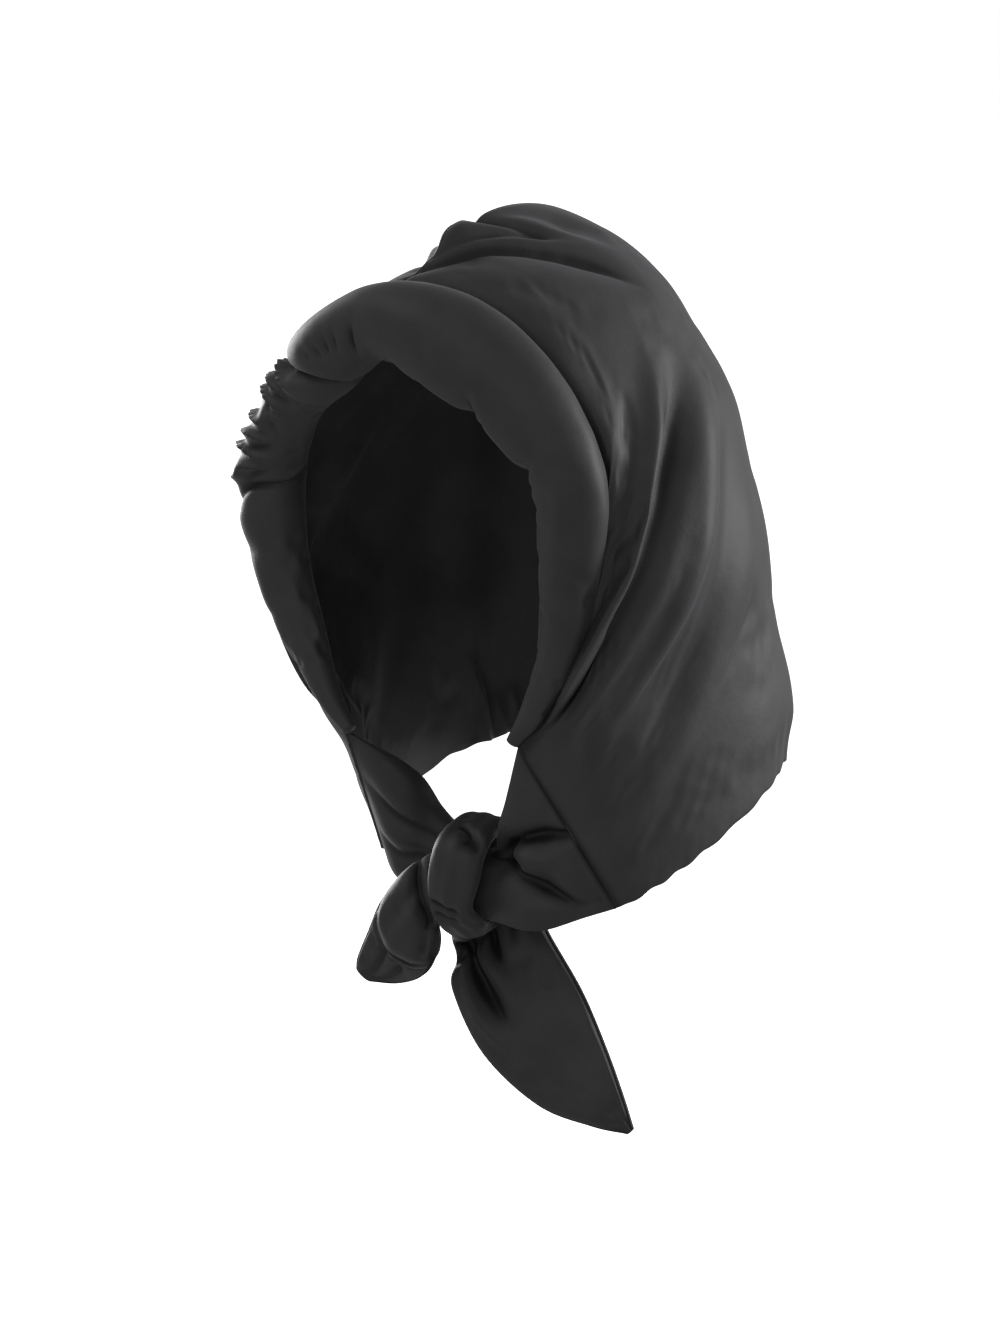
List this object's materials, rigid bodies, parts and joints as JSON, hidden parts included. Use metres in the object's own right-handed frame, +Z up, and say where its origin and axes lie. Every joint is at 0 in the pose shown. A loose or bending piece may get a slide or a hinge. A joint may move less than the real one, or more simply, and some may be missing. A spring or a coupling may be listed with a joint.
{
  "type": "padded hood scarf",
  "caption": "Padded hood with a stuffed roll round the face opening and padded scarf ends tied in a half knot under the chin; keeps head, ears and neck warm.",
  "frame": {"origin": "about 7 mm under the inside of the crown at the centre seam, where the top of the head bears", "axes": "+Z up, the face looks along -Y, the wearer's left is +X"},
  "size_m": [0.2435, 0.2791, 0.46],
  "materials": {
    "shell_cloth": "black padded nylon with a soft sheen",
    "roll_cloth": "black stuffed nylon with a soft sheen",
    "strap_cloth": "black padded nylon with a soft sheen"
  },
  "bodies": {
    "root": {"hood_panel_left": "shell_cloth", "hood_panel_right": "shell_cloth", "face_roll": "roll_cloth", "strap_left": "strap_cloth", "strap_right": "strap_cloth"}
  },
  "joints": []
}
